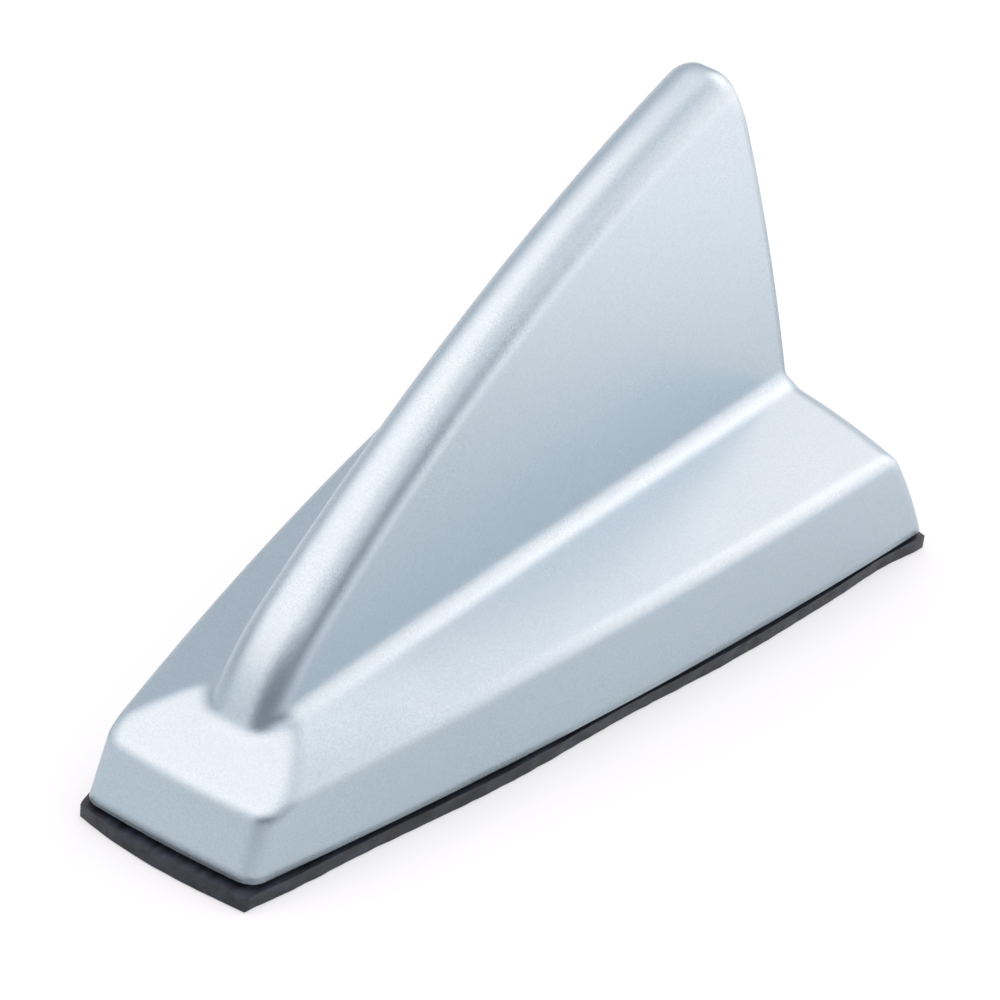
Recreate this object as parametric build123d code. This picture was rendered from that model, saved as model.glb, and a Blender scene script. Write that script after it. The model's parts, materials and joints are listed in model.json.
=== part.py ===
from build123d import *
from math import cos, radians, tan
import os

# A shark fin roof aerial: a painted cover with a fin, a rubber gasket round its foot, and inside it
# a screwed base plate that carries the amplifier board, the antenna holder and the radiator.
# Sizes are in millimetres. While a piece is drawn, X runs rearwards from the cover's front corners,
# Y to the side and Z up from the roof; save() moves the finished piece into the part's own frame.

# Plan of the cover's bottom edge
COVER_LENGTH = 135.9
FRONT_HALF_WIDTH = 13.3
MIDDLE_HALF_WIDTH = 25.75
REAR_HALF_WIDTH = 33.6
FRONT_BOW = 0.5
REAR_BOW = 6.0

# Skirt, shoulder, decks and front facet of the cover, with heights above its bottom edge
FRONT_DRAFT = 0.27
SIDE_DRAFT = 0.09
SHOULDER_FRONT = 9.7
SHOULDER_MIDDLE = 13.9
SHOULDER_REAR = 15.8
RIDGE_FRONT = 15.9
RIDGE_REAR = 19.0
FACET_FRONT = 9.1
FACET_SLOPE = 19.9
WALL = 2.0

# Leading edge of the fin in side view, as points of X and height above the cover's bottom edge
FOOT_X, FOOT_Z = 10.4, 9.6
KNEE_X, KNEE_Z = 20.4, 25.7
LEADING_X, LEADING_Z = 57.3, 51.4

# Rear wall, trailing edge and tip in side view: how far in front of the heel, and how high
WAIST_SETBACK, WAIST_Z = 12.0, 19.0
TRAILING_SETBACK, TRAILING_Z = 19.4, 40.3
CREST_SETBACK, CREST_Z = 31.15, 68.0
TIP_SETBACK, TIP_Z = 33.0, 72.4
TIP_FALL = 45.0
REAR_BULGE = 0.7

# Thickness and roundings of the fin and the cover
NOSE_HALF_WIDTH = 4.65
FIN_REAR_HALF_WIDTH = 10.6
NOSE_RADIUS = 3.95
TIP_RADIUS = 5.0
WAIST_RADIUS = 3.0
FIN_FILLET = 2.4
CREASE_RADIUS = 4.0
SHOULDER_RADIUS = 1.6
FRONT_CORNER_RADIUS = 3.0
REAR_EDGE_RADIUS = 5.0
REAR_TRIM = 0.03

# Gasket
GASKET_HEIGHT = 2.7
GASKET_FRONT = 1.15
GASKET_SIDE = 0.1
GROOVE_HEIGHT = 0.7
GROOVE_DEPTH = 0.7
LIP_THICKNESS = 1.2
LIP_WIDTH = 3.0

# Base plate and its adhesive pad
PLATE_THICKNESS = 2.6
PLATE_GAP = 0.9
RIM_SETBACK = 1.6
RIM_WIDTH = 1.4
RIB_FRONT_GAP = 0.9
RIB_REAR_GAP = 7.0
RIB_SPACING = 16.0
RIB_HEIGHT = 1.8
RIB_WIDTH = 1.4
PAD_GAP = 0.4

# Screws that hold the cover to the base plate
FRONT_SCREW_X = 22.0
REAR_SCREW_SETBACK = 24.9
BOSS_RADIUS = 3.2
BOSS_EDGE_GAP = 2.2
SEAT_HEIGHT = 1.6
COVER_SCREW_RADIUS = 1.5
COVER_SCREW_LENGTH = 8.0
COVER_HEAD_RADIUS = 2.6
COVER_HEAD_HEIGHT = 1.6
HEAD_RECESS = 0.2
HEAD_GAP = 0.3
DRIVE_WIDTH = 0.9
DRIVE_DEPTH = 0.7
SCREW_GAP = 0.1

# Cable inlet, between the rear screws
GROMMET_RADIUS = 5.5
GROMMET_LIP = 1.8
GROMMET_TOP_LIP = 1.5
GROMMET_BOTTOM_LIP = 0.9
CABLE_BORE_RADIUS = 2.6

# Circuit board and the screws that hold it and the antenna holder
BOARD_END_GAP = 4.8
BOARD_EDGE_GAP = 7.0
BOARD_THICKNESS = 1.6
BOARD_CORNER_RADIUS = 2.0
POST_HEIGHT = 3.2
POST_RADIUS = 2.6
BOARD_SCREW_EDGE = 4.5
BOARD_SCREW_Y = 7.5
SMALL_SCREW_RADIUS = 1.1
SMALL_SCREW_GRIP = 4.0
SMALL_HEAD_RADIUS = 2.1
SMALL_HEAD_HEIGHT = 1.5

# Antenna holder, radiator and loading coil
HOLDER_THICKNESS = 2.4
HOLDER_FOOT_HALF_WIDTH = 6.0
HOLDER_FOOT_THICKNESS = 1.8
HOLDER_TOE = 8.0
HOLDER_EAR_SETBACK = 7.0
HOLDER_EAR_Y = 10.5
HOLDER_EAR_RADIUS = 3.6
HOLDER_GUSSET = 8.0
HOLDER_WINDOW_RADIUS = 5.0
RADIATOR_ROOM = 2.0
RADIATOR_SHEET = 0.6
RADIATOR_SKIRT = 13.0
RADIATOR_GAP = 0.1
COIL_TAB_Z = 42.0
COIL_TAB_WIDTH = 5.0
COIL_RADIUS = 3.2
COIL_WIRE = 0.9
COIL_TURNS = 6
COIL_GAP = 0.8
COIL_EDGE_GAP = 3.2

# Parts on the board
CAN_FRONT_GAP = 3.9
CAN_REAR_GAP = 2.5
CAN_SIDE_GAP = 1.3
CAN_LENGTH = 15.0
CAN_WIDTH = 14.0
CAN_HEIGHT = 4.0
CAN_SHEET = 0.4
CAN_HOLE_RADIUS = 0.9
CAN_HOLE_SPACING = 4.0
CHIP_LENGTH = 5.0
CHIP_WIDTH = 4.0
CHIP_HEIGHT = 1.5
CHIP_LEAD = 0.5
CHIP_LEAD_PITCH = 1.27
INDUCTOR_SPACING = 8.0
INDUCTOR_RADIUS = 2.7
INDUCTOR_HEIGHT = 4.6
INDUCTOR_FLANGE = 0.9
INDUCTOR_WAIST = 0.8
FILTER_RADIUS = 2.6
FILTER_HEIGHT = 5.6
FILTER_FOOT = 0.9
CHIP_ROW_SPACING = 2.6
CHIP_ROW_COUNT = 4
CHIP_ROW_GAP = 3.0
CAPACITOR_LENGTH = 2.0
CAPACITOR_WIDTH = 1.25
CAPACITOR_HEIGHT = 1.2
RESISTOR_LENGTH = 2.0
RESISTOR_WIDTH = 1.25
RESISTOR_HEIGHT = 0.6
CONNECTOR_SIDE_GAP = 8.0
CONNECTOR_EDGE = 1.0
SOCKET_SIZE = 6.0
SOCKET_HEIGHT = 5.4
SOCKET_BARREL_RADIUS = 2.1
SOCKET_BARREL_LENGTH = 4.0
SOCKET_BORE_RADIUS = 1.5
SOCKET_PIN_RADIUS = 0.4
HEADER_LENGTH = 6.0
HEADER_WIDTH = 7.6
HEADER_HEIGHT = 5.2
HEADER_WALL = 0.9
HEADER_PIN = 0.64
HEADER_PITCH = 2.5

# Levels that follow from those sizes
COVER_Z = GASKET_HEIGHT
PLATE_Z = LIP_THICKNESS
PLATE_TOP = PLATE_Z + PLATE_THICKNESS
SEAT_TOP = PLATE_TOP + SEAT_HEIGHT
BOARD_Z = PLATE_TOP + POST_HEIGHT
BOARD_TOP = BOARD_Z + BOARD_THICKNESS
HOLDER_FOOT_TOP = BOARD_TOP + HOLDER_FOOT_THICKNESS

# Stations along the cover that follow from those sizes
HEEL_X = COVER_LENGTH + REAR_BOW
REAR_PLAN_RADIUS = (REAR_HALF_WIDTH**2 + REAR_BOW**2) / (2 * REAR_BOW)
WAIST_X = HEEL_X - WAIST_SETBACK
TRAILING_X = HEEL_X - TRAILING_SETBACK
CREST_X = HEEL_X - CREST_SETBACK
TIP_X = HEEL_X - TIP_SETBACK
REAR_SCREW_X = HEEL_X - REAR_SCREW_SETBACK
INLET_X = REAR_SCREW_X
BOARD_FRONT_X = FRONT_SCREW_X + BOSS_RADIUS + BOARD_END_GAP
BOARD_REAR_X = REAR_SCREW_X - BOSS_RADIUS - BOARD_END_GAP
BOARD_SCREW_X = BOARD_FRONT_X + BOARD_SCREW_EDGE
RIB_FRONT_X = BOARD_SCREW_X + POST_RADIUS + RIB_FRONT_GAP
RIB_REAR_X = BOARD_REAR_X - RIB_REAR_GAP
CAN_X = BOARD_SCREW_X + SMALL_HEAD_RADIUS + CAN_FRONT_GAP + CAN_LENGTH / 2
HOLDER_TOE_X = CAN_X + CAN_LENGTH / 2 + CAN_REAR_GAP
HOLDER_FRONT_X = HOLDER_TOE_X + HOLDER_TOE
COIL_X = BOARD_REAR_X - COIL_EDGE_GAP - COIL_WIRE / 2 - COIL_RADIUS
TAB_X = COIL_X - COIL_RADIUS - COIL_WIRE / 2 - COIL_GAP - RADIATOR_SHEET
HOLDER_REAR_X = TAB_X - RADIATOR_GAP
HOLDER_EAR_X = HOLDER_REAR_X - HOLDER_EAR_SETBACK

# Room by which trimming shapes reach past the cover
MARGIN = 15.0
REAR_REACH = COVER_LENGTH + MARGIN
SKIRT_TOP = COVER_Z + RIDGE_REAR + MARGIN
SIDE_REACH = REAR_HALF_WIDTH + MARGIN
TOUCH = 0.001
STEEP = 0.6
DECK_STEPS = 4

# The part's own origin lies under the middle of the gasket
FRONT_END = -FRONT_BOW - GASKET_FRONT
MIDDLE_X = (FRONT_END + HEEL_X) / 2


def save(name, shape):
    """Write one node, moved into the part's own frame."""
    export_step(Pos(-MIDDLE_X, 0, 0) * shape, f"parts/{name}.step")


def along(x, front, middle, rear):
    """Smooth change of a size from the front of the cover, past its middle, to its rear."""
    u = x / COVER_LENGTH
    return front * (1 - u) * (1 - 2 * u) + 4 * middle * u * (1 - u) + rear * u * (2 * u - 1)


def half_width(x):
    """Half the cover's width at its bottom edge."""
    return along(x, FRONT_HALF_WIDTH, MIDDLE_HALF_WIDTH, REAR_HALF_WIDTH)


def shoulder(x):
    """Height of the shoulder above the cover's bottom edge."""
    return along(x, SHOULDER_FRONT, SHOULDER_MIDDLE, SHOULDER_REAR)


def side_point(x, z):
    """A point of the side view, given by its height above the cover's bottom edge."""
    return Vector(x, z + COVER_Z)


def mirrored(point):
    """The same plan point on the other side of the middle."""
    return (point[0], -point[1])


def plate(face, bottom, top):
    """A flat piece of the given outline between two levels."""
    return extrude(Pos(0, 0, bottom) * face, top - bottom)


def rod(x, y, radius, bottom, top):
    """An upright round bar."""
    return Pos(x, y, (bottom + top) / 2) * Cylinder(radius, top - bottom)


def block(x, y, length, width, bottom, top):
    """An upright box centred at a plan point."""
    return Pos(x, y, (bottom + top) / 2) * Box(length, width, top - bottom)


def lies_on(edge, faces):
    """True where an edge runs along one of the faces."""
    return all(min(face.distance_to(edge @ t) for face in faces) < TOUCH for t in (0.2, 0.5, 0.8))


# Forms of the cover: each is drawn with an inset, so that the same form gives the cover and its hollow


def tapered_face(corner, middle, end):
    """Plan with a bowed front and two curved sides, through three points of one side."""
    lines = [
        ThreePointArc(mirrored(corner), (corner[0] - FRONT_BOW, 0), corner),
        ThreePointArc(corner, middle, end),
        Line(end, mirrored(end)),
        ThreePointArc(mirrored(end), mirrored(middle), mirrored(corner)),
    ]
    return make_face(lines)


def skirt_outline(z, inset):
    """Plan of the skirt at one level, running on past the rear wall."""
    rise = z - COVER_Z
    front = FRONT_DRAFT * rise + inset
    stations = (front, (front + REAR_REACH) / 2, REAR_REACH)
    points = [(x, half_width(x) - SIDE_DRAFT * rise - inset) for x in stations]
    return Pos(0, 0, z) * tapered_face(*points)


def skirt_form(inset, bottom):
    """Drafted skirt, taller than the deck."""
    return loft([skirt_outline(bottom, inset), skirt_outline(SKIRT_TOP, inset)], ruled=True)


def deck_section(x, drop):
    """Cross-section under the two side decks, which fall from the ridge to the shoulders."""
    ridge = COVER_Z + RIDGE_FRONT + (RIDGE_REAR - RIDGE_FRONT) * x / COVER_LENGTH
    edge = COVER_Z + shoulder(x)
    fall = (ridge - edge) / (half_width(x) - SIDE_DRAFT * shoulder(x))
    eave = ridge - fall * SIDE_REACH - drop
    plane = Plane(origin=(x, 0, 0), x_dir=(0, 1, 0), z_dir=(1, 0, 0))
    corners = [(-SIDE_REACH, -SIDE_REACH), (SIDE_REACH, -SIDE_REACH)]
    corners += [(SIDE_REACH, eave), (0, ridge - drop), (-SIDE_REACH, eave)]
    return plane * make_face(Polyline(*corners, close=True))


def deck_form(drop):
    """Everything under the twisted side decks."""
    first = -MARGIN / 2
    step = (REAR_REACH + TOUCH - first) / DECK_STEPS
    return loft([deck_section(first + i * step, drop) for i in range(DECK_STEPS + 1)])


def facet_form(drop):
    """Everything under the sloping front facet."""
    slope = tan(radians(FACET_SLOPE))
    lift = COVER_Z + FACET_FRONT - drop / cos(radians(FACET_SLOPE))

    def height(x):
        return lift + (x - FRONT_DRAFT * FACET_FRONT) * slope

    front = -MARGIN
    rear = REAR_REACH + MARGIN
    corners = [(front, -MARGIN), (rear, -MARGIN), (rear, height(rear)), (front, height(front))]
    return extrude(Plane.XZ * make_face(Polyline(*corners, close=True)), SIDE_REACH, both=True)


def fin_profile(inset):
    """Side view of the fin, running on past the trailing edge and down into the deck."""
    knee = side_point(KNEE_X, KNEE_Z)
    tip = side_point(TIP_X, TIP_Z)
    lead = ThreePointArc(knee, side_point(LEADING_X, LEADING_Z), tip)
    foot = TangentArc(knee, side_point(FOOT_X, FOOT_Z), tangent=-(lead % 0))
    drop = tip.Y - (foot @ 1).Y
    rest = Polyline(tip, (tip.X + drop / tan(radians(TIP_FALL)), (foot @ 1).Y), foot @ 1)
    face = make_face([lead, foot, rest])
    corner = face.vertices().sort_by_distance((tip.X, tip.Y, 0))[0]
    return offset(fillet(corner, TIP_RADIUS), -inset, kind=Kind.INTERSECTION)


def fin_wedge(inset):
    """Space between the fin's two flat sides, which spread from the leading edge to the rear."""
    knee = Vector(KNEE_X, 0, KNEE_Z + COVER_Z)
    tip = Vector(TIP_X, 0, TIP_Z + COVER_Z)
    waist = Vector(WAIST_X, 0, WAIST_Z + COVER_Z)
    chord = (tip - knee).normalized()
    plane = Plane(origin=knee, x_dir=(0, 1, 0), z_dir=chord)
    depth = plane.to_local_coords(waist).Y
    spread = (FIN_REAR_HALF_WIDTH - NOSE_HALF_WIDTH) / depth
    nose_end = -depth / 4
    rear_end = 2 * depth
    corners = []
    for side, y in ((-1, nose_end), (1, nose_end), (1, rear_end), (-1, rear_end)):
        corners.append((side * (NOSE_HALF_WIDTH + spread * y - inset), y))
    return extrude(plane * make_face(Polyline(*corners, close=True)), 2 * REAR_REACH, both=True)


def fin_form(inset):
    """The fin between its two sides, before its nose is rounded."""
    return extrude(Plane.XZ * fin_profile(inset), SIDE_REACH, both=True) & fin_wedge(inset)


def rear_form(inset):
    """Everything in front of the bowed rear wall and the trailing edge."""
    axis_x = HEEL_X - REAR_PLAN_RADIUS
    heel = side_point(HEEL_X - inset, 0)
    waist = side_point(WAIST_X - inset, WAIST_Z)
    trail = ThreePointArc(
        waist, side_point(TRAILING_X - inset, TRAILING_Z), side_point(CREST_X - inset, CREST_Z)
    )
    wall = SagittaArc(heel, waist, -REAR_BULGE)
    above = (trail @ 1) + (trail % 1) * 2 * MARGIN
    below = heel - (wall % 0) * MARGIN
    rest = Polyline(above, (axis_x, above.Y), (axis_x, below.Y), below)
    face = make_face([Line(below, heel), wall, trail, Line(trail @ 1, above), rest])
    corner = face.vertices().sort_by_distance((waist.X, waist.Y, 0))[0]
    soft = fillet(corner, WAIST_RADIUS)
    return revolve(Plane.XZ * soft, Axis((axis_x, 0, 0), (0, 0, 1)))


def deck_block():
    """The decks with their ridge and the rear wall below it, wider than the skirt."""
    deck = deck_form(0)
    ridge = [e for e in deck.edges() if abs((e @ 0).Y) + abs((e @ 1).Y) < TOUCH]
    deck = fillet(ridge, CREASE_RADIUS)
    tops = [f for f in deck.faces() if f.normal_at(f.center()).Z > STEEP]
    body = deck & rear_form(0)
    edges = [e for e in body.edges() if lies_on(e, tops) and (e @ 0.5).X > COVER_LENGTH / 2]
    return fillet([e for e in edges if abs((e % 0.5).Y) > STEEP], REAR_EDGE_RADIUS)


def front_corners(skirt):
    """The skirt's two upright front edges."""
    uprights = [e for e in skirt.edges() if abs((e % 0.5).Z) > STEEP]
    return sorted(uprights, key=lambda e: (e @ 0.5).X)[:2]


def side_walls(skirt):
    """The skirt's front wall, its side walls and the corners between them."""
    walls = [f for f in skirt.faces() if abs(f.normal_at(f.center()).Z) < STEEP]
    return [f for f in walls if f.center().X < COVER_LENGTH]


def crease_edges(base, walls):
    """The front facet's edges with the two decks and their ridge."""
    facet = base.faces().filter_by(GeomType.PLANE).sort_by(Axis.Z)[-1]
    return [e for e in facet.edges() if not lies_on(e, walls)]


def rim_edges(base, walls):
    """The edges round the top of the skirt and down its rear corners."""
    edges = [e for e in base.edges() if lies_on(e, walls) and (e @ 0.5).Z > COVER_Z + TOUCH]
    return [e for e in edges if sum(lies_on(e, [w]) for w in walls) == 1]


def nose_edges(fin):
    """The edges of the fin's leading edge, down to below the deck."""
    floor = fin.bounding_box().min.Z
    edges = [e for e in fin.edges() if max((e @ 0).Z, (e @ 1).Z) > floor + TOUCH]
    edges = [e for e in edges if abs((e @ 0).Y - (e @ 1).Y) < NOSE_HALF_WIDTH]
    return [e for e in edges if min((e @ 0).X, (e @ 1).X) < TIP_X + TOUCH]


def cover_form():
    """The cover's outer form with all its roundings."""
    skirt = skirt_form(0, COVER_Z)
    skirt = fillet(front_corners(skirt), FRONT_CORNER_RADIUS)
    walls = side_walls(skirt)
    base = deck_block() & skirt & facet_form(0)
    base = fillet(crease_edges(base, walls), CREASE_RADIUS)
    base = fillet(rim_edges(base, walls), SHOULDER_RADIUS)
    fin = fin_form(0)
    fin = fillet(nose_edges(fin), NOSE_RADIUS)
    body = base + fin
    floor = fin.bounding_box().min.Z
    seam = [e for e in new_edges(base, fin, combined=body) if (e @ 0.5).Z > floor + TOUCH]
    body = fillet(seam, FIN_FILLET)
    return body & rear_form(REAR_TRIM)


def hollow_form():
    """The space inside the cover, one wall in from its outer form."""
    base = skirt_form(WALL, COVER_Z - WALL) & deck_form(WALL) & facet_form(WALL)
    return (base + fin_form(WALL)) & rear_form(WALL)


def rear_disc():
    """Plan of everything in front of the bowed rear edge."""
    return Pos(HEEL_X - REAR_PLAN_RADIUS, 0) * Circle(REAR_PLAN_RADIUS)


def plan_face(inset):
    """Plan of the cover's bottom edge, drawn in by an even amount."""
    outline = Pos(0, 0, -COVER_Z) * skirt_outline(COVER_Z, 0) & rear_disc()
    return offset(outline, -inset, kind=Kind.INTERSECTION)


def gasket_face():
    """Plan of the gasket, which stands out most at the front and is flush at the rear."""
    corner = (-GASKET_FRONT, FRONT_HALF_WIDTH + GASKET_SIDE)
    middle, end = [(x, half_width(x) + GASKET_SIDE) for x in (REAR_REACH / 2, REAR_REACH)]
    return tapered_face(corner, middle, end) & rear_disc()


# Where the screws stand

HEAD_SEAT = PLATE_Z + HEAD_RECESS + COVER_HEAD_HEIGHT
TOE_SCREW_X = HOLDER_FRONT_X - HOLDER_TOE / 2
BOARD_SCREWS = [(BOARD_SCREW_X, BOARD_SCREW_Y), (BOARD_SCREW_X, -BOARD_SCREW_Y)]
HOLDER_SCREWS = [(TOE_SCREW_X, 0), (HOLDER_EAR_X, HOLDER_EAR_Y), (HOLDER_EAR_X, -HOLDER_EAR_Y)]


def cover_screw_places():
    """Plan points of the four cover screws, set in from the cover's sides."""
    places = []
    for x in (FRONT_SCREW_X, REAR_SCREW_X):
        y = half_width(x) - SIDE_DRAFT * shoulder(x) - WALL - BOSS_EDGE_GAP - BOSS_RADIUS
        places += [(x, y), (x, -y)]
    return places


COVER_SCREWS = cover_screw_places()


def cover():
    """Moulded cover: an even wall, with four screw bosses under the deck."""
    outer = cover_form()
    shell = outer - hollow_form()
    tip = HEAD_SEAT + COVER_SCREW_LENGTH
    for x, y in COVER_SCREWS:
        shell += rod(x, y, BOSS_RADIUS, SEAT_TOP, SKIRT_TOP) & outer
    for x, y in COVER_SCREWS:
        shell -= rod(x, y, COVER_SCREW_RADIUS + SCREW_GAP, SEAT_TOP, tip + SCREW_GAP)
    return shell


def roof_gasket():
    """Rubber gasket: a proud foot with a shadow groove, and a lip under the base plate."""
    outer = gasket_face()
    ring = plate(outer - plan_face(WALL + LIP_WIDTH), 0, GASKET_HEIGHT)
    ring -= plate(plan_face(WALL), LIP_THICKNESS, GASKET_HEIGHT)
    groove = outer - plan_face(GROOVE_DEPTH)
    return ring - plate(groove, GASKET_HEIGHT - GROOVE_HEIGHT, GASKET_HEIGHT)


def base_plate():
    """Base plate with a rim as tall as its screw seats, ribs, board posts and cable hole."""
    edge = WALL + PLATE_GAP
    body = plate(plan_face(edge), PLATE_Z, PLATE_TOP)
    rim = plan_face(edge + RIM_SETBACK) - plan_face(edge + RIM_SETBACK + RIM_WIDTH)
    body += plate(rim, PLATE_TOP, SEAT_TOP)
    length = RIB_REAR_X - RIB_FRONT_X
    middle = (RIB_FRONT_X + RIB_REAR_X) / 2
    for y in (-RIB_SPACING / 2, RIB_SPACING / 2):
        body += block(middle, y, length, RIB_WIDTH, PLATE_TOP, PLATE_TOP + RIB_HEIGHT)
    for x in (RIB_FRONT_X, middle, RIB_REAR_X):
        body += block(x, 0, RIB_WIDTH, RIB_SPACING + RIB_WIDTH, PLATE_TOP, PLATE_TOP + RIB_HEIGHT)
    for x, y in COVER_SCREWS:
        body += rod(x, y, BOSS_RADIUS, PLATE_TOP, SEAT_TOP)
    for x, y in BOARD_SCREWS + HOLDER_SCREWS:
        body += rod(x, y, POST_RADIUS, PLATE_TOP, BOARD_Z)
    for x, y in COVER_SCREWS:
        body -= rod(x, y, COVER_HEAD_RADIUS + HEAD_GAP, PLATE_Z, HEAD_SEAT)
        body -= rod(x, y, COVER_SCREW_RADIUS + SCREW_GAP, HEAD_SEAT, SEAT_TOP)
    for x, y in BOARD_SCREWS + HOLDER_SCREWS:
        body -= rod(x, y, SMALL_SCREW_RADIUS + SCREW_GAP, BOARD_Z - SMALL_SCREW_GRIP - SCREW_GAP, BOARD_Z)
    return body - rod(INLET_X, 0, GROMMET_RADIUS, PLATE_Z, PLATE_TOP)


def screw(radius, length, head_radius, head_height, seat, upwards):
    """Screw with a slotted round head; its shank runs up or down from the seat of the head."""
    way = 1 if upwards else -1
    body = Pos(0, 0, way * length / 2) * Cylinder(radius, length)
    head = Pos(0, 0, -way * head_height / 2) * Cylinder(head_radius, head_height)
    crown = head.edges().filter_by(GeomType.CIRCLE).sort_by(Axis.Z)[0 if upwards else -1]
    head = chamfer(crown, head_height / 3)
    slot = Pos(0, 0, -way * (head_height - DRIVE_DEPTH / 2)) * Box(2 * head_radius, DRIVE_WIDTH, DRIVE_DEPTH)
    return Pos(0, 0, seat) * (body + head - slot)


def base_screws():
    """The four screws that come up through the base plate into the cover's bosses."""
    one = screw(
        COVER_SCREW_RADIUS, COVER_SCREW_LENGTH, COVER_HEAD_RADIUS, COVER_HEAD_HEIGHT, HEAD_SEAT, True
    )
    return Compound([Pos(x, y, 0) * one for x, y in COVER_SCREWS])


def small_screws(places, seat):
    """Screws that go down through the board into its posts."""
    length = seat - BOARD_Z + SMALL_SCREW_GRIP
    one = screw(SMALL_SCREW_RADIUS, length, SMALL_HEAD_RADIUS, SMALL_HEAD_HEIGHT, seat, False)
    return Compound([Pos(x, y, 0) * one for x, y in places])


def adhesive_pad():
    """Foam pad on the underside, between the front screw heads and the cable inlet."""
    front = FRONT_SCREW_X + COVER_HEAD_RADIUS + HEAD_GAP + PAD_GAP
    rear = INLET_X - GROMMET_RADIUS - GROMMET_LIP - PAD_GAP
    window = Pos((front + rear) / 2, 0) * Rectangle(rear - front, 2 * SIDE_REACH)
    return plate(plan_face(WALL + LIP_WIDTH + PAD_GAP) & window, 0, PLATE_Z)


def cable_grommet():
    """Rubber grommet, lipped over both faces of the base plate."""
    lip = GROMMET_RADIUS + GROMMET_LIP
    body = rod(INLET_X, 0, GROMMET_RADIUS, PLATE_Z, PLATE_TOP)
    body += rod(INLET_X, 0, lip, PLATE_Z - GROMMET_BOTTOM_LIP, PLATE_Z)
    top = Pos(INLET_X, 0, PLATE_TOP + GROMMET_TOP_LIP / 2) * Cone(
        lip, (lip + CABLE_BORE_RADIUS) / 2, GROMMET_TOP_LIP
    )
    bore = rod(INLET_X, 0, CABLE_BORE_RADIUS, PLATE_Z - GROMMET_BOTTOM_LIP, PLATE_TOP + GROMMET_TOP_LIP)
    return body + top - bore


def board_half_width(x):
    """Half the board's width, which follows the cover's plan."""
    return half_width(x) - BOARD_EDGE_GAP


def circuit_board():
    """Amplifier board, tapered like the cover and screwed to the posts."""
    front = (BOARD_FRONT_X, board_half_width(BOARD_FRONT_X))
    rear = (BOARD_REAR_X, board_half_width(BOARD_REAR_X))
    face = make_face(Polyline(mirrored(front), mirrored(rear), rear, front, close=True))
    face = fillet(face.vertices(), BOARD_CORNER_RADIUS)
    for x, y in BOARD_SCREWS + HOLDER_SCREWS:
        face -= Pos(x, y) * Circle(SMALL_SCREW_RADIUS + SCREW_GAP)
    return plate(face, BOARD_Z, BOARD_TOP)


def side_window(inset, front, rear):
    """What lies between two stations, from the board up to the leading edge drawn in by an inset."""
    profile = fin_profile(inset)
    floor = profile.bounding_box().min.Y
    middle = (front + rear) / 2
    height = TIP_Z + COVER_Z
    upper = profile & Pos(middle, floor + height / 2) * Rectangle(rear - front, height)
    lower = Pos(middle, (BOARD_TOP + floor) / 2) * Rectangle(rear - front, floor - BOARD_TOP)
    return upper + lower


def slab(face, width):
    """A side view made into a plate of the given width, astride the middle."""
    return extrude(Plane.XZ * face, width / 2, both=True)


HOLDER_INSET = WALL + RADIATOR_ROOM + RADIATOR_SHEET + RADIATOR_GAP


def antenna_holder():
    """Upright plastic holder: a thin web on a screwed foot, with windows and gussets."""
    length = HOLDER_REAR_X - HOLDER_TOE_X
    foot = Pos(HOLDER_TOE_X + length / 2, 0) * Rectangle(length, 2 * HOLDER_FOOT_HALF_WIDTH)
    foot += Pos(HOLDER_EAR_X, 0) * SlotCenterToCenter(2 * HOLDER_EAR_Y, 2 * HOLDER_EAR_RADIUS, 90)
    for x, y in HOLDER_SCREWS:
        foot -= Pos(x, y) * Circle(SMALL_SCREW_RADIUS + SCREW_GAP)
    body = plate(foot, BOARD_TOP, HOLDER_FOOT_TOP)
    web = side_window(HOLDER_INSET, HOLDER_FRONT_X, HOLDER_REAR_X)
    middle = (HOLDER_FRONT_X + HOLDER_REAR_X) / 2
    step = (COIL_TAB_Z - HOLDER_FOOT_TOP) / 3
    for i in (1, 2):
        web -= Pos(middle, HOLDER_FOOT_TOP + i * step) * Circle(HOLDER_WINDOW_RADIUS)
    body += slab(web, HOLDER_THICKNESS)
    half = HOLDER_FOOT_HALF_WIDTH
    gusset = make_face(Polyline((-half, 0), (half, 0), (0, HOLDER_GUSSET), close=True))
    for x in (HOLDER_FRONT_X + HOLDER_THICKNESS, HOLDER_REAR_X - HOLDER_THICKNESS):
        plane = Plane(origin=(x, 0, HOLDER_FOOT_TOP), x_dir=(0, 1, 0), z_dir=(1, 0, 0))
        body += extrude(plane * gusset, HOLDER_THICKNESS / 2, both=True)
    return body


def radiator_plate():
    """Folded sheet that straddles the holder's sloping edge, with a tab bent out over the coil."""
    inset = WALL + RADIATOR_ROOM
    rear = TAB_X + RADIATOR_SHEET
    band = side_window(inset, HOLDER_FRONT_X, rear)
    band -= side_window(inset + RADIATOR_SKIRT, HOLDER_FRONT_X, rear)
    slot_width = HOLDER_THICKNESS + 2 * RADIATOR_GAP
    body = slab(band, slot_width + 2 * RADIATOR_SHEET)
    body -= slab(side_window(inset + RADIATOR_SHEET, HOLDER_FRONT_X, TAB_X), slot_width)
    top = band.bounding_box().max.Y - RADIATOR_SKIRT / 2
    body += block(TAB_X + RADIATOR_SHEET / 2, 0, RADIATOR_SHEET, COIL_TAB_WIDTH, COIL_TAB_Z, top)
    reach = COIL_X + COIL_RADIUS - TAB_X
    level = COIL_TAB_Z + RADIATOR_SHEET
    return body + block(TAB_X + reach / 2, 0, reach, COIL_TAB_WIDTH, COIL_TAB_Z, level)


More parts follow.
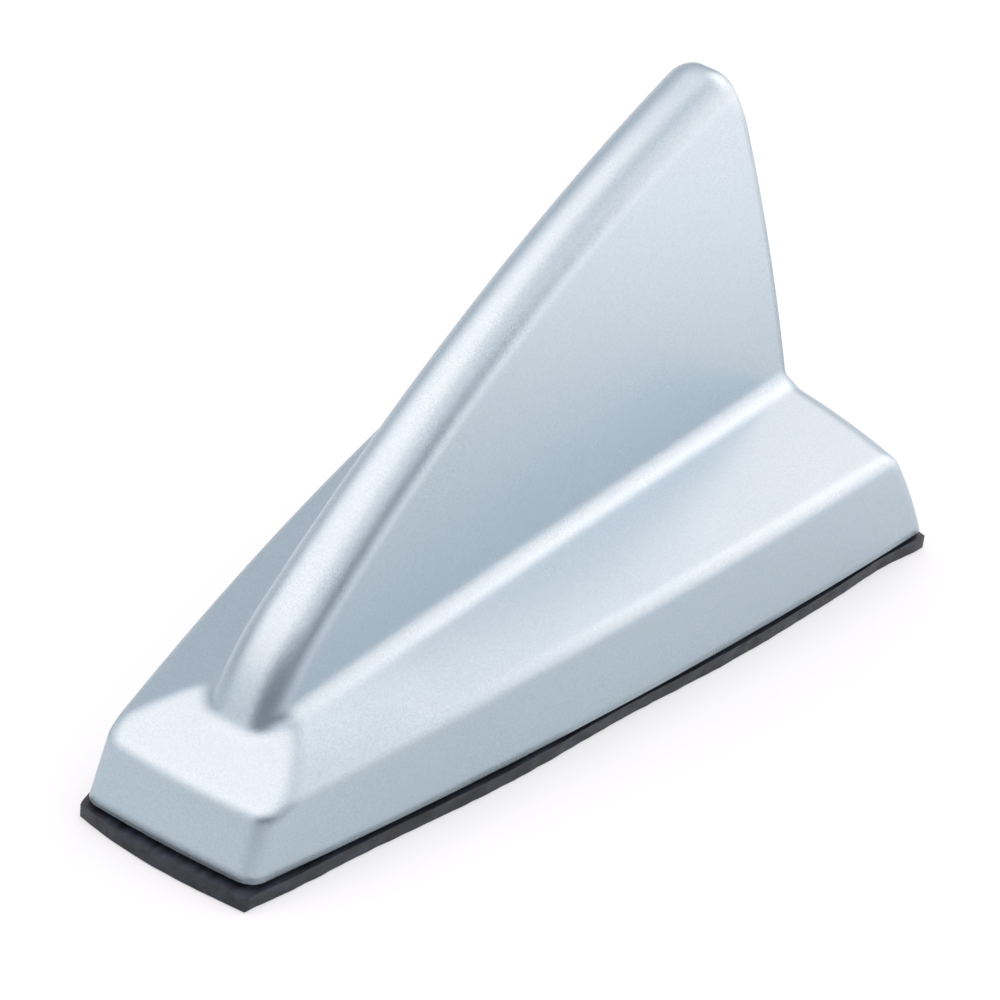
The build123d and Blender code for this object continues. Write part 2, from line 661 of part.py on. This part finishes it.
def loading_coil():
    """Square wire wound as an open coil between the board and the radiator's tab."""
    height = COIL_TAB_Z - BOARD_TOP - COIL_WIRE
    line = Helix(height / COIL_TURNS, height, COIL_RADIUS)
    start = Plane(line @ 0, x_dir=(1, 0, 0), z_dir=line % 0)
    wire = sweep(start * Rectangle(COIL_WIRE, COIL_WIRE), line, is_frenet=True)
    return Pos(COIL_X, 0, BOARD_TOP + COIL_WIRE / 2) * wire


def shield_can():
    """Folded screening can over the amplifier, open at the board, with vent holes."""
    top = BOARD_TOP + CAN_HEIGHT
    body = block(CAN_X, 0, CAN_LENGTH, CAN_WIDTH, BOARD_TOP, top)
    inside = (CAN_LENGTH - 2 * CAN_SHEET, CAN_WIDTH - 2 * CAN_SHEET)
    body -= block(CAN_X, 0, *inside, BOARD_TOP, top - CAN_SHEET)
    for i in (-1, 0, 1):
        body -= rod(CAN_X + i * CAN_HOLE_SPACING, 0, CAN_HOLE_RADIUS, top - CAN_SHEET, top)
    return body


def amplifier_chip():
    """Amplifier chip with four leads a side, under the can."""
    body = block(CAN_X, 0, CHIP_LENGTH, CHIP_WIDTH, BOARD_TOP + CHIP_LEAD / 2, BOARD_TOP + CHIP_HEIGHT)
    for i in (-1.5, -0.5, 0.5, 1.5):
        span = CHIP_WIDTH + 4 * CHIP_LEAD
        body += block(CAN_X + i * CHIP_LEAD_PITCH, 0, CHIP_LEAD, span, BOARD_TOP, BOARD_TOP + CHIP_LEAD)
    return body


def drum(x, y):
    """Drum core inductor: two flanges on a waist."""
    top = BOARD_TOP + INDUCTOR_HEIGHT
    body = rod(x, y, INDUCTOR_RADIUS - INDUCTOR_WAIST, BOARD_TOP, top)
    body += rod(x, y, INDUCTOR_RADIUS, BOARD_TOP, BOARD_TOP + INDUCTOR_FLANGE)
    return body + rod(x, y, INDUCTOR_RADIUS, top - INDUCTOR_FLANGE, top)


def tuning_inductors():
    """Two inductors on one side of the can."""
    y = CAN_WIDTH / 2 + CAN_SIDE_GAP + INDUCTOR_RADIUS
    return Compound([drum(CAN_X + i * INDUCTOR_SPACING, y) for i in (-0.5, 0.5)])


def filter_capacitor():
    """Can capacitor on a square foot, on the other side of the can."""
    y = -CAN_WIDTH / 2 - CAN_SIDE_GAP - FILTER_RADIUS
    foot = BOARD_TOP + FILTER_FOOT
    body = block(CAN_X, y, 2 * FILTER_RADIUS, 2 * FILTER_RADIUS, BOARD_TOP, foot)
    return body + rod(CAN_X, y, FILTER_RADIUS, foot, BOARD_TOP + FILTER_HEIGHT)


def chip_row(side, length, width, height):
    """A row of small surface-mounted parts beside the holder's foot."""
    y = side * (HOLDER_FOOT_HALF_WIDTH + CHIP_ROW_GAP)
    xs = [HOLDER_TOE_X + (i + 0.5) * CHIP_ROW_SPACING for i in range(CHIP_ROW_COUNT)]
    return Compound([block(x, y, width, length, BOARD_TOP, BOARD_TOP + height) for x in xs])


def chip_capacitors():
    """Small capacitors in a row on the inductors' side."""
    return chip_row(1, CAPACITOR_LENGTH, CAPACITOR_WIDTH, CAPACITOR_HEIGHT)


def chip_resistors():
    """Small resistors in a row on the filter capacitor's side."""
    return chip_row(-1, RESISTOR_LENGTH, RESISTOR_WIDTH, RESISTOR_HEIGHT)


CONNECTOR_Y = board_half_width(BOARD_REAR_X) - CONNECTOR_SIDE_GAP
SOCKET_X = BOARD_REAR_X - CONNECTOR_EDGE - SOCKET_SIZE / 2
SOCKET_Z = BOARD_TOP + SOCKET_HEIGHT / 2
HEADER_X = BOARD_REAR_X - CONNECTOR_EDGE - HEADER_LENGTH / 2
HEADER_Z = BOARD_TOP + HEADER_HEIGHT / 2


def lying_rod(front, rear, y, z, radius):
    """A round bar that lies along X."""
    return Pos((front + rear) / 2, y, z) * Rot(0, 90, 0) * Cylinder(radius, rear - front)


def cable_socket():
    """Coaxial socket on the board's rear edge, for the aerial lead."""
    rear = SOCKET_X + SOCKET_SIZE / 2
    mouth = rear + SOCKET_BARREL_LENGTH
    body = block(SOCKET_X, -CONNECTOR_Y, SOCKET_SIZE, SOCKET_SIZE, BOARD_TOP, BOARD_TOP + SOCKET_HEIGHT)
    body += lying_rod(rear, mouth, -CONNECTOR_Y, SOCKET_Z, SOCKET_BARREL_RADIUS)
    return body - lying_rod(SOCKET_X, mouth, -CONNECTOR_Y, SOCKET_Z, SOCKET_BORE_RADIUS)


def socket_pin():
    """Centre pin, standing on the bottom of the socket's bore."""
    mouth = SOCKET_X + SOCKET_SIZE / 2 + SOCKET_BARREL_LENGTH
    return lying_rod(SOCKET_X, mouth - SOCKET_PIN_RADIUS, -CONNECTOR_Y, SOCKET_Z, SOCKET_PIN_RADIUS)


def supply_header():
    """Shrouded header on the board's rear edge, for the supply lead."""
    body = block(HEADER_X, CONNECTOR_Y, HEADER_LENGTH, HEADER_WIDTH, BOARD_TOP, BOARD_TOP + HEADER_HEIGHT)
    room = Box(HEADER_LENGTH - HEADER_WALL, HEADER_WIDTH - 2 * HEADER_WALL, HEADER_HEIGHT - 2 * HEADER_WALL)
    return body - Pos(HEADER_X + HEADER_WALL / 2, CONNECTOR_Y, HEADER_Z) * room


def supply_pins():
    """The two square pins inside the header's shroud."""
    length = HEADER_LENGTH - 2 * HEADER_WALL
    x = HEADER_X - HEADER_LENGTH / 2 + HEADER_WALL + length / 2
    pin = Box(length, HEADER_PIN, HEADER_PIN)
    places = [CONNECTOR_Y + side * HEADER_PITCH / 2 for side in (-1, 1)]
    return Compound([Pos(x, y, HEADER_Z) * pin for y in places])


os.makedirs("parts", exist_ok=True)
save("cover", cover())
save("roof_gasket", roof_gasket())
save("base_plate", base_plate())
save("base_screws", base_screws())
save("adhesive_pad", adhesive_pad())
save("cable_grommet", cable_grommet())
save("circuit_board", circuit_board())
save("board_screws", small_screws(BOARD_SCREWS, BOARD_TOP))
save("antenna_holder", antenna_holder())
save("holder_screws", small_screws(HOLDER_SCREWS, HOLDER_FOOT_TOP))
save("radiator_plate", radiator_plate())
save("loading_coil", loading_coil())
save("shield_can", shield_can())
save("amplifier_chip", amplifier_chip())
save("tuning_inductors", tuning_inductors())
save("filter_capacitor", filter_capacitor())
save("chip_capacitors", chip_capacitors())
save("chip_resistors", chip_resistors())
save("cable_socket", cable_socket())
save("socket_pin", socket_pin())
save("supply_header", supply_header())
save("supply_pins", supply_pins())
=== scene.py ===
import json
from math import cos, exp, radians, sin

import bmesh
import bpy
from mathutils import Matrix, Vector, noise as field


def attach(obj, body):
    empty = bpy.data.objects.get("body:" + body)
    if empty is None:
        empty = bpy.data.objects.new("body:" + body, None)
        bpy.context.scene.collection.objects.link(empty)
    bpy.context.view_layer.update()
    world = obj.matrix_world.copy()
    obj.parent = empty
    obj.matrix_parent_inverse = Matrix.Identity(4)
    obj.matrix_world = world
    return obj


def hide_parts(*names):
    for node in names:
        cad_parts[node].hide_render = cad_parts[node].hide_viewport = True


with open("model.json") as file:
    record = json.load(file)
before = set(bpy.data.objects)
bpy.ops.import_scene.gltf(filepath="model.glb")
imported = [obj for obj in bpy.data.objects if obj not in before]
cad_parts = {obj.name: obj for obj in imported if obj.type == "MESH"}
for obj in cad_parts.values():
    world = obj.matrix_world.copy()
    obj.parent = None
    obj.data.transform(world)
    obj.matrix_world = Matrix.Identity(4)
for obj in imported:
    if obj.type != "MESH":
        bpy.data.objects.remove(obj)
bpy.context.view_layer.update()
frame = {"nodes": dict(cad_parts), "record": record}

# The dressed shark fin aerial: finishes for every piece, the gasket as soft rubber, a pale floor, a softly
# lit room and the camera. Lengths are in metres and angles in degrees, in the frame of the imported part:
# +X rearwards, +Y across and +Z up from the roof. The near side is the one towards -Y.

nodes = frame["nodes"]

# Camera, as fitted to the photograph's edges
CAMERA_AZIMUTH = -61.19
CAMERA_ELEVATION = 32.4
CAMERA_ROLL = 9.37
CAMERA_DISTANCE = 0.62252
CAMERA_AIM = Vector((-0.030325, -0.01734, 0.04449))
LENS_MM = 177.84
SENSOR_MM = 36.0
CLIP_START = 0.01

# Floor. Its level rises and falls towards a side: a slope is an azimuth, a start, an end and the change
FLOOR_SIZE = 8.0
FLOOR_DROP = 0.0002
FLOOR_COLOUR = (0.4, 0.42, 0.43)
FLOOR_GLOW = 0.51
FLOOR_SLOPES = [(25, 0.06, 0.17, 0.52), (50, 0.2, 0.35, 0.2), (-46.6, 0.084, 0.17, -0.55)]

# Light: its colours from dark to bright, each with its level
LIGHT_COLOURS = [(0.4, (0.93, 1.0, 1.13)), (1.0, (1.0, 1.0, 1.03)), (1.6, (1.15, 1.0, 0.96))]
LIGHT_RANGE = 2.0

# Room: its plain level, its least level, and its patches, each an azimuth, an elevation, a reach, a core
# and a change of level
ROOM_LEVEL = 1.25
ROOM_LEAST = 0.3
ROOM_PATCHES = [
    (-60, 5, 48, 22, -1.0),
    (-2, 4, 36, 18, -1.05),
    (-150, 60, 48, 28, 0.52),
    (-150, 0, 36, 12, -0.5),
    (175, 64, 28, 10, 0.12),
    (155, 10, 58, 25, -0.5),
    (90, 35, 27, 11, 0.6),
    (74, 36, 26, 10, 0.55),
    (78, 70, 28, 8, -0.3),
    (102, 2, 28, 8, -0.5),
    (48, 6, 42, 16, 0.45),
]

# Textures: the values between which most noise lies, and how much detail fine noise has
NOISE_LOW = 0.3
NOISE_HIGH = 0.7
PLAIN_DETAIL = 2.0
FINE_DETAIL = 3.0
FINEST_DETAIL = 4.0

# Paint. A flake's colour is random about its middle, and tips the flake
PAINT_COLOUR = (0.435, 0.53, 0.59)
PAINT_ROUGHNESS = 0.28
PAINT_METALLIC = 0.9
FLAKE_SIZE = 0.00015
FLAKE_MIDDLE = (0.5, 0.5, 0.5)
FLAKE_TILT = 0.035
FLAKE_SHADE = 0.05
EDGE_SOFTNESS = 0.002
EDGE_SAMPLES = 4
PEEL_SIZE = 0.0012
PEEL_DEPTH = 0.0000015
HAZE_SIZE = 0.02
HAZE_CHANGE = 0.02

# Gasket: rubber that is a little out of true. A wave is its place along X, its reach and its push outwards
# on the near side
GASKET_COLOUR = (0.008, 0.011, 0.018)
GASKET_ROUGHNESS = 0.46
GASKET_STEP = 0.0012
GASKET_WALL = 0.0022
WELD_DISTANCE = 0.0000012
FOOT_EASE = 0.3
FRONT_PROUD = 0.0006
FAR_CORNER_RETREAT = 0.0018
FAR_CORNER_POWER = 4
NEAR_WAVES = [
    (-0.066, 0.010, 0.00045),
    (-0.027, 0.014, 0.0004),
    (-0.002, 0.011, -0.0003),
    (0.026, 0.013, 0.00025),
    (0.055, 0.006, -0.0003),
    (0.067, 0.006, 0.0006),
]
RUB_SIZE = 0.0025
RUB_DEPTH = 0.00012

# Other finishes: the length of one cell of each texture, the depth of its relief, the darkest and lightest
# share of its colour, and how far its roughness changes
SHEEN_SIZE = 0.002
SCUFF_SIZE = 0.0012
SCUFF_STRETCH = (0.12, 1.0, 1.0)
SCUFF_SHADES = (0.3, 2.6)
RUBBER_GRAIN_SIZE = 0.0003
RUBBER_GRAIN_DEPTH = 0.00002
RUBBER_SHEEN = 0.1
GROMMET_ROUGHNESS = 0.5
CLOUD_SIZE = 0.01
CLOUD_SHADES = (0.9, 1.1)
PLASTIC_GRAIN_SIZE = 0.0004
FINE_GRAIN_SIZE = 0.0002
PLASTIC_GRAIN_DEPTH = 0.000012
PLASTIC_SHEEN = 0.06
LINE_SIZE = 0.0004
LINE_DEPTH = 0.000003
LINE_SHADES = (0.85, 1.1)
LINE_SHEEN = 0.08
ROUND_LINES = (1.0, 1.0, 12.0)
LONG_LINES = (0.08, 1.0, 1.0)
PIT_SIZE = 0.0005
PIT_DEPTH = 0.00016
# Painted shade in the foam's pits: the darkest share in each pit's middle, the lightest at its rim
PIT_PAINTED_SHADE = (0.6, 1.4)
FOAM_ROUGHNESS = 0.9
TRACK_SIZE = 0.006
TRACK_EDGE = 0.03
TRACK_DEPTH = 0.000018
TRACK_SHADES = {"Color1": 1.0, "Color2": 1.2, "Mortar": 1.9}
BOARD_ROUGHNESS = 0.35

# Roughness of each slot, by the kind of its finish
PLASTICS = {"base_plastic": 0.5, "holder_plastic": 0.45, "header_plastic": 0.4}
FINE_PLASTICS = {"chip_resin": 0.55, "ferrite": 0.6, "ceramic": 0.4}
ROUND_METALS = {"screw_steel": 0.3, "capacitor_can": 0.3, "coil_copper": 0.25}
SHEET_METALS = {"tinned_sheet": 0.32, "connector_metal": 0.25}


def add(tree, kind, inputs=None, **settings):
    """A new node with its settings and its unlinked inputs."""
    made = tree.nodes.new(kind)
    for name, value in settings.items():
        setattr(made, name, value)
    for name, value in (inputs or {}).items():
        made.inputs[name].default_value = value
    return made


def combine(tree, operation, first, second):
    """Two values joined by an operation; the second may be a plain number."""
    made = add(tree, "ShaderNodeMath", operation=operation)
    tree.links.new(first, made.inputs[0])
    if isinstance(second, (int, float)):
        made.inputs[1].default_value = second
    else:
        tree.links.new(second, made.inputs[1])
    return made.outputs["Value"]


def total(tree, start, changes):
    """A start value with every change added to it."""
    level = add(tree, "ShaderNodeValue").outputs["Value"]
    level.default_value = start
    for change in changes:
        level = combine(tree, "ADD", level, change)
    return level


def ease(tree, value, start, end, change):
    """Nothing at the start of a range and the whole change at its end, with a soft way between."""
    edges = {"From Min": start, "From Max": end, "To Max": change}
    made = add(tree, "ShaderNodeMapRange", edges, interpolation_type="SMOOTHSTEP")
    tree.links.new(value, made.inputs["Value"])
    return made.outputs["Result"]


def along(tree, source, way):
    """How far a place or direction reaches along a way."""
    made = add(tree, "ShaderNodeVectorMath", {1: way}, operation="DOT_PRODUCT")
    tree.links.new(source, made.inputs[0])
    return made.outputs["Value"]


def place(tree):
    """The surface's own coordinates."""
    return tree.nodes.new("ShaderNodeTexCoord").outputs["Object"]


def noise(tree, size, detail=PLAIN_DETAIL, stretch=None):
    """Noise with cells of the given length, drawn out along an axis where stretch says so."""
    texture = add(tree, "ShaderNodeTexNoise", {"Scale": 1 / size, "Detail": detail})
    source = place(tree)
    if stretch:
        mapping = add(tree, "ShaderNodeMapping", {"Scale": stretch})
        tree.links.new(source, mapping.inputs["Vector"])
        source = mapping.outputs["Vector"]
    tree.links.new(source, texture.inputs["Vector"])
    return texture.outputs["Fac"]


def cells(tree, size, output):
    """Cells of the given length, as the colour of each or as the distance from its middle."""
    texture = add(tree, "ShaderNodeTexVoronoi", {"Scale": 1 / size})
    tree.links.new(place(tree), texture.inputs["Vector"])
    return texture.outputs[output]


def spread(tree, value, middle, change):
    """A noise value spread evenly about a middle."""
    source = {"From Min": NOISE_LOW, "From Max": NOISE_HIGH}
    result = {"To Min": middle - change, "To Max": middle + change}
    made = add(tree, "ShaderNodeMapRange", {**source, **result})
    tree.links.new(value, made.inputs["Value"])
    return made.outputs["Result"]


def shade(colour, factor):
    """The same colour, lighter or darker."""
    return tuple(min(1.0, c * factor) for c in colour)


def tint(tree, value, colour, darkest, lightest):
    """A colour made darker and lighter by a noise value."""
    ramp = tree.nodes.new("ShaderNodeValToRGB")
    low, high = ramp.color_ramp.elements
    low.position = NOISE_LOW
    high.position = NOISE_HIGH
    low.color = (*shade(colour, darkest), 1.0)
    high.color = (*shade(colour, lightest), 1.0)
    tree.links.new(value, ramp.inputs["Fac"])
    return ramp.outputs["Color"]


def relief(tree, height, depth, under=None):
    """Relief of a real depth, laid over another normal where there is one."""
    made = add(tree, "ShaderNodeBump", {"Distance": depth})
    tree.links.new(height, made.inputs["Height"])
    if under:
        tree.links.new(under, made.inputs["Normal"])
    return made.outputs["Normal"]


def new_material(name, roughness, metallic=0.0):
    """A material with its tree and its shader, ready for its textures."""
    material = bpy.data.materials.new(name)
    material.use_nodes = True
    shader = material.node_tree.nodes["Principled BSDF"]
    shader.inputs["Roughness"].default_value = roughness
    shader.inputs["Metallic"].default_value = metallic
    return material, material.node_tree, shader


def link_textures(tree, shader, **textures):
    """Link textures to the shader's inputs; an underscore in a name stands for a space."""
    for name, texture in textures.items():
        tree.links.new(texture, shader.inputs[name.replace("_", " ")])


def tipped_normal(tree, flakes):
    """The normal of a coat that runs softly over edges, tipped a little differently on each flake."""
    centred = add(tree, "ShaderNodeVectorMath", {1: FLAKE_MIDDLE}, operation="SUBTRACT")
    tree.links.new(flakes, centred.inputs[0])
    scaled = add(tree, "ShaderNodeVectorMath", {"Scale": FLAKE_TILT}, operation="SCALE")
    tree.links.new(centred.outputs["Vector"], scaled.inputs["Vector"])
    rounded = add(tree, "ShaderNodeBevel", {"Radius": EDGE_SOFTNESS}, samples=EDGE_SAMPLES)
    tipped = tree.nodes.new("ShaderNodeVectorMath")
    tree.links.new(rounded.outputs["Normal"], tipped.inputs[0])
    tree.links.new(scaled.outputs["Vector"], tipped.inputs[1])
    unit = add(tree, "ShaderNodeVectorMath", operation="NORMALIZE")
    tree.links.new(tipped.outputs["Vector"], unit.inputs[0])
    return unit.outputs["Vector"]


def silver_paint(name):
    """Silver metallic paint: fine flake under a satin coat, with a trace of orange peel and of haze."""
    material, tree, shader = new_material(name, PAINT_ROUGHNESS, PAINT_METALLIC)
    flakes = cells(tree, FLAKE_SIZE, "Color")
    colour = tint(tree, flakes, PAINT_COLOUR, 1 - FLAKE_SHADE, 1 + FLAKE_SHADE)
    normal = relief(tree, noise(tree, PEEL_SIZE), PEEL_DEPTH, tipped_normal(tree, flakes))
    haze = spread(tree, noise(tree, HAZE_SIZE, FINE_DETAIL), PAINT_ROUGHNESS, HAZE_CHANGE)
    link_textures(tree, shader, Base_Color=colour, Normal=normal, Roughness=haze)
    return material


def rubber(name, colour, roughness):
    """Moulded rubber: matt, with scuffs that run along it."""
    material, tree, shader = new_material(name, roughness)
    scuffs = tint(tree, noise(tree, SCUFF_SIZE, FINEST_DETAIL, SCUFF_STRETCH), colour, *SCUFF_SHADES)
    sheen = spread(tree, noise(tree, SHEEN_SIZE), roughness, RUBBER_SHEEN)
    grain = relief(tree, noise(tree, RUBBER_GRAIN_SIZE, FINE_DETAIL), RUBBER_GRAIN_DEPTH)
    link_textures(tree, shader, Base_Color=scuffs, Roughness=sheen, Normal=grain)
    return material


def plastic(name, colour, roughness, grain_size):
    """Moulded plastic with a fine spark-eroded grain."""
    material, tree, shader = new_material(name, roughness)
    cloud = tint(tree, noise(tree, CLOUD_SIZE, FINE_DETAIL), colour, *CLOUD_SHADES)
    sheen = spread(tree, noise(tree, SHEEN_SIZE), roughness, PLASTIC_SHEEN)
    grain = relief(tree, noise(tree, grain_size, FINE_DETAIL), PLASTIC_GRAIN_DEPTH)
    link_textures(tree, shader, Base_Color=cloud, Roughness=sheen, Normal=grain)
    return material


def metal(name, colour, roughness, stretch):
    """Plated or drawn metal, with fine lines along one axis."""
    material, tree, shader = new_material(name, roughness, 1.0)
    lines = noise(tree, LINE_SIZE, FINE_DETAIL, stretch)
    colours = tint(tree, lines, colour, *LINE_SHADES)
    sheen = spread(tree, lines, roughness, LINE_SHEEN)
    grooves = relief(tree, lines, LINE_DEPTH)
    link_textures(tree, shader, Base_Color=colours, Roughness=sheen, Normal=grooves)
    return material


def foam(name, colour):
    """Closed-cell foam: small open pits on its cut face, with painted shade: each pit darker towards its
    middle and lighter at its rim.
    """
    material, tree, shader = new_material(name, FOAM_ROUGHNESS)
    pits = cells(tree, PIT_SIZE, "Distance")
    # Painted shade: each pit's colour darkens towards its middle, where its relief is deepest
    colours = tint(tree, pits, colour, *PIT_PAINTED_SHADE)
    link_textures(tree, shader, Base_Color=colours, Normal=relief(tree, pits, PIT_DEPTH))
    return material


def laminate(name, colour):
    """Circuit board: lacquer over rows of copper track."""
    material, tree, shader = new_material(name, BOARD_ROUGHNESS)
    tracks = add(tree, "ShaderNodeTexBrick", {"Scale": 1 / TRACK_SIZE, "Mortar Size": TRACK_EDGE})
    tree.links.new(place(tree), tracks.inputs["Vector"])
    for part, factor in TRACK_SHADES.items():
        tracks.inputs[part].default_value = (*shade(colour, factor), 1.0)
    raised = relief(tree, tracks.outputs["Fac"], TRACK_DEPTH)
    link_textures(tree, shader, Base_Color=tracks.outputs["Color"], Normal=raised)
    return material


def make_finishes():
    """The finish of every slot."""
    colour = {row["slot"]: tuple(row["base_color"][:3]) for row in frame["record"]["materials"]}
    made = {
        "cover_paint": silver_paint("cover_paint"),
        "gasket_rubber": rubber("gasket_rubber", GASKET_COLOUR, GASKET_ROUGHNESS),
        "grommet_rubber": rubber("grommet_rubber", colour["grommet_rubber"], GROMMET_ROUGHNESS),
        "pad_foam": foam("pad_foam", colour["pad_foam"]),
        "board_laminate": laminate("board_laminate", colour["board_laminate"]),
    }
    for slot, roughness in PLASTICS.items():
        made[slot] = plastic(slot, colour[slot], roughness, PLASTIC_GRAIN_SIZE)
    for slot, roughness in FINE_PLASTICS.items():
        made[slot] = plastic(slot, colour[slot], roughness, FINE_GRAIN_SIZE)
    for slot, roughness in ROUND_METALS.items():
        made[slot] = metal(slot, colour[slot], roughness, ROUND_LINES)
    for slot, roughness in SHEET_METALS.items():
        made[slot] = metal(slot, colour[slot], roughness, LONG_LINES)
    return made


def long_edges(body):
    """The edges that are longer than the gasket's step."""
    return [edge for edge in body.edges if edge.calc_length() > GASKET_STEP]


def fine_copy(mesh):
    """A welded copy of a mesh, cut until no edge is longer than the gasket's step."""
    body = bmesh.new()
    body.from_mesh(mesh)
    bmesh.ops.remove_doubles(body, verts=body.verts, dist=WELD_DISTANCE)
    while long_edges(body):
        bmesh.ops.subdivide_edges(body, edges=long_edges(body), cuts=1)
        bmesh.ops.triangulate(body, faces=body.faces)
    return body


def near_edges(body):
    """The gasket's outermost y on the near side, for each step along X."""
    edges = {}
    for vert in body.verts:
        row = round(vert.co.x / GASKET_STEP)
        edges[row] = min(vert.co.y, edges.get(row, 0.0))
    return edges


def wave(x):
    """How far the near side is pushed outwards at a place along X."""
    return sum(push * exp(-(((x - middle) / reach) ** 2)) for middle, reach, push in NEAR_WAVES)


def wear(body):
    """Make the near side wavy and the front proud, and draw in the far front corner; least at the top."""
    front = min(vert.co.x for vert in body.verts)
    top = max(vert.co.z for vert in body.verts)
    corner = max(vert.co.y for vert in body.verts if vert.co.x < front + GASKET_WALL)
    edges = near_edges(body)
    for vert in body.verts:
        x, y, z = vert.co
        at_foot = 1 - FOOT_EASE * z / top
        at_front = max(0.0, 1 - (x - front) / GASKET_WALL)
        at_near = max(0.0, 1 - (y - edges[round(x / GASKET_STEP)]) / GASKET_WALL)
        rub = RUB_DEPTH * field.noise(vert.co / RUB_SIZE)
        across = (y + corner) / (2 * corner)
        retreat = FAR_CORNER_RETREAT * across ** FAR_CORNER_POWER
        vert.co.x += at_foot * at_front * (retreat - FRONT_PROUD + rub)
        vert.co.y -= at_foot * at_near * (wave(x) + rub)


def worn_gasket(material):
    """The gasket as soft rubber, a little out of true."""
    body = fine_copy(nodes["roof_gasket"].data)
    wear(body)
    mesh = bpy.data.meshes.new("worn_gasket")
    body.to_mesh(mesh)
    body.free()
    mesh.materials.append(material)
    gasket = bpy.data.objects.new("worn_gasket", mesh)
    bpy.context.scene.collection.objects.link(gasket)
    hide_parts("roof_gasket")
    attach(gasket, "root")


def direction(azimuth, elevation):
    """The way from the object to a place round it; azimuth 0 is on the near side, along -Y."""
    a = radians(azimuth)
    e = radians(elevation)
    return Vector((sin(a) * cos(e), -cos(a) * cos(e), sin(e)))


def make_camera():
    """Camera at the photograph's viewing angle."""
    back = direction(CAMERA_AZIMUTH, CAMERA_ELEVATION)
    level = Vector((0.0, 0.0, 1.0)).cross(back).normalized()
    roll = radians(CAMERA_ROLL)
    right = level * cos(roll) + back.cross(level) * sin(roll)
    turn = Matrix((right, back.cross(right), back)).transposed().to_4x4()
    camera = bpy.data.objects.new("camera", bpy.data.cameras.new("camera"))
    camera.data.lens = LENS_MM
    camera.data.sensor_width = SENSOR_MM
    camera.data.clip_start = CLIP_START
    camera.matrix_world = Matrix.Translation(CAMERA_AIM + back * CAMERA_DISTANCE) @ turn
    bpy.context.scene.collection.objects.link(camera)
    bpy.context.scene.camera = camera


def light_colour(tree, level):
    """The light's colour, cool where it is dark and warm where it is bright."""
    ramp = tree.nodes.new("ShaderNodeValToRGB")
    ramp.color_ramp.elements.new(0.5)
    for stop, (at_level, colour) in zip(ramp.color_ramp.elements, LIGHT_COLOURS):
        stop.position = at_level / LIGHT_RANGE
        stop.color = (*colour, 1.0)
    tree.links.new(combine(tree, "DIVIDE", level, LIGHT_RANGE), ramp.inputs["Fac"])
    return ramp.outputs["Color"]


def room_patch(tree, azimuth, elevation, reach, core, change):
    """A broad soft patch of the room that is brighter or darker than its plain level."""
    seen = tree.nodes.new("ShaderNodeTexCoord").outputs["Generated"]
    nearness = along(tree, seen, direction(azimuth, elevation))
    return ease(tree, nearness, cos(radians(reach)), cos(radians(core)), change)


def make_room():
    """A softly lit room: a plain level with a few broad lighter and darker patches."""
    world = bpy.data.worlds.new("studio")
    world.use_nodes = True
    tree = world.node_tree
    level = total(tree, ROOM_LEVEL, [room_patch(tree, *patch) for patch in ROOM_PATCHES])
    level = combine(tree, "MAXIMUM", level, ROOM_LEAST)
    background = tree.nodes["Background"]
    tree.links.new(light_colour(tree, level), background.inputs["Color"])
    tree.links.new(level, background.inputs["Strength"])
    bpy.context.scene.world = world


def floor_slope(tree, azimuth, start, end, change):
    """A rise or fall of the floor's level towards one side."""
    way = along(tree, place(tree), direction(azimuth, 0))
    return ease(tree, way, start, end, change)


def seen_rays(tree):
    """One for what is seen, in reflections and through glass too, and nothing for light that falls."""
    path = tree.nodes.new("ShaderNodeLightPath").outputs
    seen = combine(tree, "MAXIMUM", path["Is Camera Ray"], path["Is Glossy Ray"])
    return combine(tree, "MAXIMUM", seen, path["Is Transmission Ray"])


def glowing_floor(tree):
    """Matt floor with a glow of its own: white within the picture, brighter and darker round it."""
    matt = add(tree, "ShaderNodeBsdfDiffuse", {"Color": (*FLOOR_COLOUR, 1.0)})
    glow = tree.nodes.new("ShaderNodeEmission")
    level = total(tree, FLOOR_GLOW, [floor_slope(tree, *slope) for slope in FLOOR_SLOPES])
    whole_level = combine(tree, "ADD", level, 1 - FLOOR_GLOW)
    tree.links.new(light_colour(tree, whole_level), glow.inputs["Color"])
    tree.links.new(combine(tree, "MULTIPLY", seen_rays(tree), level), glow.inputs["Strength"])
    both = tree.nodes.new("ShaderNodeAddShader")
    tree.links.new(matt.outputs["BSDF"], both.inputs[0])
    tree.links.new(glow.outputs["Emission"], both.inputs[1])
    return both.outputs["Shader"]


def floor_material():
    """The floor's material, clear from below so that the underside shows."""
    material = bpy.data.materials.new("floor")
    material.use_nodes = True
    tree = material.node_tree
    tree.nodes.remove(tree.nodes["Principled BSDF"])
    from_below = tree.nodes.new("ShaderNodeNewGeometry").outputs["Backfacing"]
    clear = tree.nodes.new("ShaderNodeBsdfTransparent").outputs["BSDF"]
    choice = tree.nodes.new("ShaderNodeMixShader")
    tree.links.new(from_below, choice.inputs["Fac"])
    tree.links.new(glowing_floor(tree), choice.inputs[1])
    tree.links.new(clear, choice.inputs[2])
    tree.links.new(choice.outputs["Shader"], tree.nodes["Material Output"].inputs["Surface"])
    return material


def make_floor():
    """Pale floor that reads as white and still takes the shadow."""
    half = FLOOR_SIZE / 2
    corners = [(-half, -half, 0), (half, -half, 0), (half, half, 0), (-half, half, 0)]
    mesh = bpy.data.meshes.new("floor")
    mesh.from_pydata(corners, [], [(0, 1, 2, 3)])
    mesh.materials.append(floor_material())
    floor = bpy.data.objects.new("floor", mesh)
    floor.location.z = -FLOOR_DROP
    bpy.context.scene.collection.objects.link(floor)


finishes = make_finishes()
for row in frame["record"]["subparts"]:
    nodes[row["node"]].material_slots[0].material = finishes[row["material_slot"]]
worn_gasket(finishes["gasket_rubber"])
make_camera()
make_room()
make_floor()

bpy.context.scene.view_settings.view_transform = "Standard"
